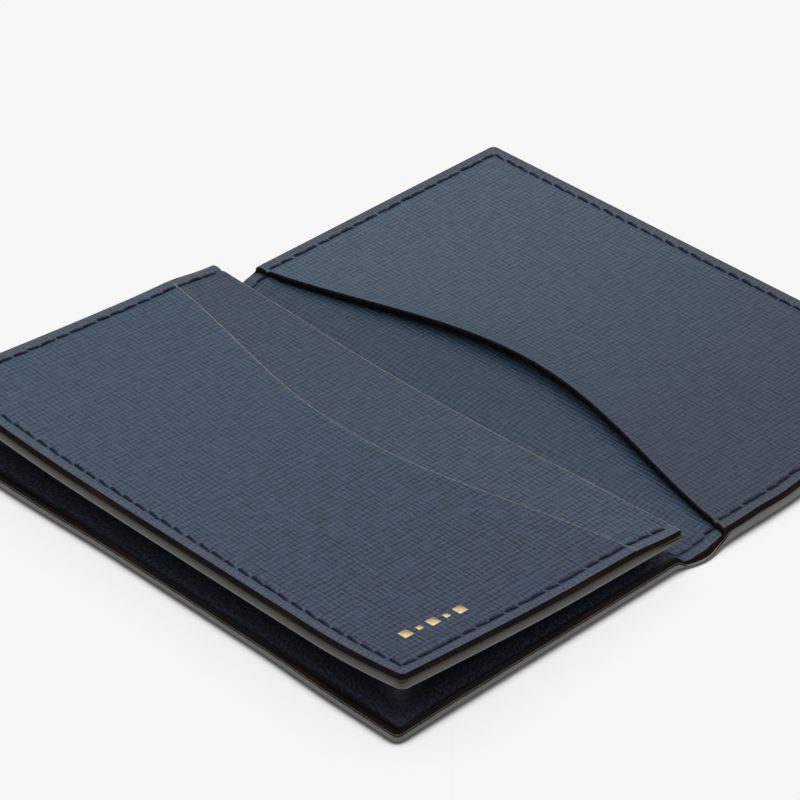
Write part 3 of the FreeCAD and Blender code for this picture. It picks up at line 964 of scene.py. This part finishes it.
def rear_swell(x, y):
    """Beside the front sheet's end, the rear one rises to it where the two are sewn."""
    sewn = ramp(np.abs(y), HALF_Y - 6, HALF_Y - 3.5)
    return 0.85 * FRONT_T * closing(x) * sewn * ramp(x, front_mouth(y) - 0.5, front_mouth(y))


def make_pocket_sheets():
    """The panel that the gusset carries, and the two card slots on it."""
    for name, node, mouth, low, high, material, seam, extra in (
            ("panel_sheet", "pocket_panel", panel_mouth, 0.0, PANEL_T, SLOT_LEATHER, None, None),
            ("rear_slot_sheet", "rear_card_slot", rear_mouth, PANEL_T, REAR_TOP, SLOT_LEATHER, POCKET_SEAM,
             rear_swell),
            ("front_slot_sheet", "front_card_slot", front_mouth, REAR_TOP, FRONT_TOP, POCKET_LEATHER,
             POCKET_SEAM, None)):
        sheet = leather_sheet(name, mouth, PANEL_EDGE, constant(low), constant(high), on_panel,
                              [material, CUT_EDGE, RAW_EDGE], seam=seam, rim=0.3, edge_materials=(2, 1, 1, 1),
                              extra=extra)
        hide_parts(node)
        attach(sheet, "pocket")


make_pocket_sheets()


def make_pocket_edge():
    """Painted edge of the panel, its two slots and the gusset's upper flange."""
    path = sweep_outline(REAR_END + 0.1, PANEL_EDGE + EDGE_PATH, HALF_Y - EDGE_PATH,
                         CORNER_R - EDGE_BULGE + EDGE_OUT)
    x = path[:, 0]
    low = -GUSSET_T - 0.1 + 0.15 * ramp(x, -15, REAR_END - 1)
    high = REAR_TOP - 0.2 + FRONT_T * closing(x)
    tip = np.sqrt(1 - np.clip((x - REAR_END + 1.7) / 1.85, 0, 0.97) ** 2)
    middle = high - (high - low) * 0.4
    low, high = middle - (middle - low) * tip, middle + (high - middle) * tip
    band = edge_paint("edge_paint_pocket", path, low, high, on_panel, POCKET_EDGE_PAINT)
    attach(band, "pocket")


make_pocket_edge()


def panel_face(x, y):
    """Top of what the pocket's thread is sewn through: the front slot sheet, then the rear one."""
    step = ramp(x, front_mouth(y) - 0.3, front_mouth(y) + 0.2)
    return FRONT_TOP - FRONT_T * step + rear_swell(x, y) * step


pocket_thread = thread("thread_pocket", POCKET_SEAM.stitches(), panel_face, on_panel, THREAD, seed=37)
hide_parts("pocket_stitching")
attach(pocket_thread, "pocket")


def make_foil():
    """A row of plain lozenges, pressed into the front slot sheet, each a shallow bevelled plate."""
    low, high = node_box("foil_ornament")
    centre_y = (low[1] + high[1]) / 2
    large, small = (high[1] - low[1]) * FOIL_LARGE, (high[1] - low[1]) * FOIL_SMALL
    pitch = (high[0] - low[0] - 2 * large) / (FOIL_COUNT - 1)
    flat, faces = [], []
    for k, x in enumerate(np.linspace(low[0] + large, high[0] - large, FOIL_COUNT) + FOIL_SHIFT):
        reach = large if k % 2 == 0 else small
        row_y = centre_y + FOIL_SHIFT + (k - FOIL_COUNT // 2) * math.tan(FOIL_TURN) * pitch
        for drawn_in, height in FOIL_LEVELS:
            size = reach - drawn_in
            corners = ((1, 1), (-1, 1), (-1, -1), (1, -1))
            flat += [(x + a * size, row_y + b * size, FRONT_TOP + height) for a, b in corners]
        first = 12 * k
        rings = first + np.arange(12).reshape(3, 4)
        faces += ring_faces(rings).tolist() + [rings[0].tolist(), rings[2].tolist()]
    foil = make_piece("foil_lozenges", np.array(flat), faces, on_panel, [GOLD], [0] * len(faces))
    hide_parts("foil_ornament")
    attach(foil, "pocket")


make_foil()


# ---------------------------------------------------------------- floor, light and camera

def make_floor():
    """A floor that is lit mostly by its own emission, which gives about four fifths of its brightness and
    keeps the shadows faint. Ambient occlusion darkens it close to the object. Both are fitted to one view."""
    reach = 8.0
    corners = [(-reach, -reach, 0), (reach, -reach, 0), (reach, reach, 0), (-reach, reach, 0)]
    mesh = bpy.data.meshes.new("floor")
    mesh.from_pydata(corners, [], [(0, 1, 2, 3)])
    g = Graph("floor_paper")
    tint = g.noise(g.node("ShaderNodeTexCoord", {}).outputs["Object"], 40.0, 2.0)
    hollow = g.node("ShaderNodeAmbientOcclusion", {"Distance": 1.9 * MM}, samples=12).outputs["AO"]
    open_air = g.step(hollow, 0.40, 0.90, 0.115, 1.0)
    paper = g.mix(tint, colour(0.178, 0.178, 0.18), colour(0.182, 0.182, 0.184))
    shade = g.mix(open_air, colour(0.01, 0.01, 0.01), paper)
    g.plug(g.shader.inputs["Emission Strength"], g.math("MULTIPLY", open_air, 0.74))
    mesh.materials.append(g.finish(shade, 0.9, tint, 0.0, Specular_IOR_Level=0.0,
                                   Emission_Color=(1.0, 1.0, 1.0, 1.0)))
    floor = bpy.data.objects.new("floor", mesh)
    bpy.context.scene.collection.objects.link(floor)


def make_light():
    """A soft tent of light, bright overhead and dim towards the horizon. The floor adds to it."""
    world = bpy.data.worlds.new("soft_tent")
    bpy.context.scene.world = world
    world.use_nodes = True
    nodes, links = world.node_tree.nodes, world.node_tree.links
    direction = nodes.new("ShaderNodeTexCoord").outputs["Generated"]
    split = nodes.new("ShaderNodeSeparateXYZ")
    links.new(direction, split.inputs[0])
    rise = nodes.new("ShaderNodeMapRange")
    rise.interpolation_type = "SMOOTHSTEP"
    links.new(split.outputs["Z"], rise.inputs["Value"])
    for key, value in (("From Min", 0.22), ("From Max", 0.70), ("To Min", 0.05), ("To Max", 1.35)):
        rise.inputs[key].default_value = value
    links.new(rise.outputs["Result"], nodes["Background"].inputs["Strength"])
    nodes["Background"].inputs["Color"].default_value = (1.0, 1.0, 1.0, 1.0)


def make_camera():
    """A long lens that looks down at the middle from beyond the left half's near corner."""
    azimuth, elevation, distance = math.radians(-44.38), math.radians(34.03), 0.615
    target = np.array([-1.7, 10.0, 0.0]) * MM
    back = np.array([math.sin(azimuth) * math.cos(elevation), -math.cos(azimuth) * math.cos(elevation),
                     math.sin(elevation)])
    data = bpy.data.cameras.new("camera")
    data.lens, data.sensor_width = 171.4, 36.0
    data.clip_start, data.clip_end = 0.01, 20.0
    camera = bpy.data.objects.new("camera", data)
    bpy.context.scene.collection.objects.link(camera)
    camera.location = (target + back * distance).tolist()
    camera.rotation_euler = (math.pi / 2 - elevation, 0, azimuth)
    bpy.context.scene.camera = camera


make_floor()
make_light()
make_camera()
bpy.context.scene.view_settings.view_transform = "Standard"
